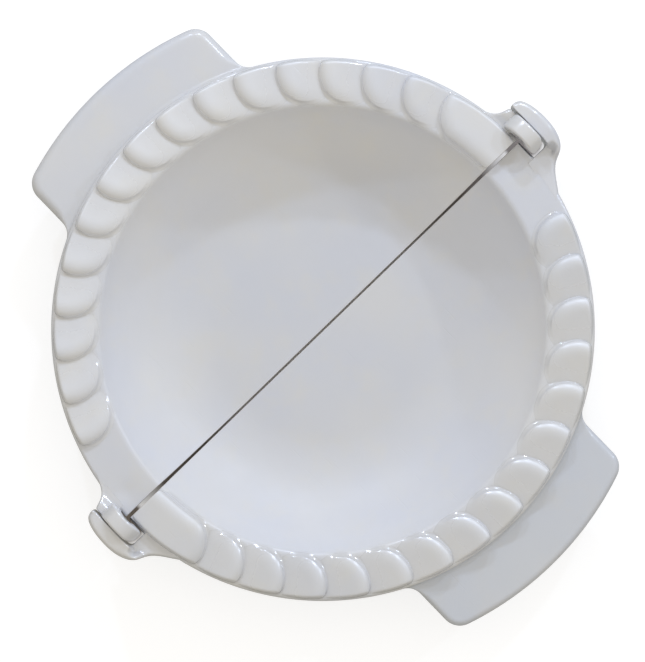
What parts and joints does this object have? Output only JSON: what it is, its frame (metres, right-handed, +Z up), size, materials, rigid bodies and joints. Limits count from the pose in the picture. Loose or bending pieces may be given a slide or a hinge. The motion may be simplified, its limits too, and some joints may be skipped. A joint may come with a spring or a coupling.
{
  "type": "empanada press",
  "caption": "Hinged round dough press lying open: half dishes with a crimping rim of leaf-shaped teeth, flat grips, and snap hooks that turn on moulded pins.",
  "frame": {"origin": "on the surface that the open press rests on, below the middle of the hinge line", "axes": "+X along the hinge line, +Y towards the grip of the hook half, +Z up out of the dish"},
  "size_m": [0.1688, 0.182, 0.0298],
  "materials": {
    "white_plastic": "glossy moulded white"
  },
  "bodies": {
    "pin_half": {"pin_half": "white_plastic"},
    "hook_half": {"hook_half": "white_plastic"}
  },
  "joints": [
    {"name": "fold_hinge", "type": "hinge", "parent": "pin_half", "child": "hook_half", "pos_m": [0, 0, 0.0239], "axis": [1, 0, 0], "range_deg": [0, 180]}
  ]
}
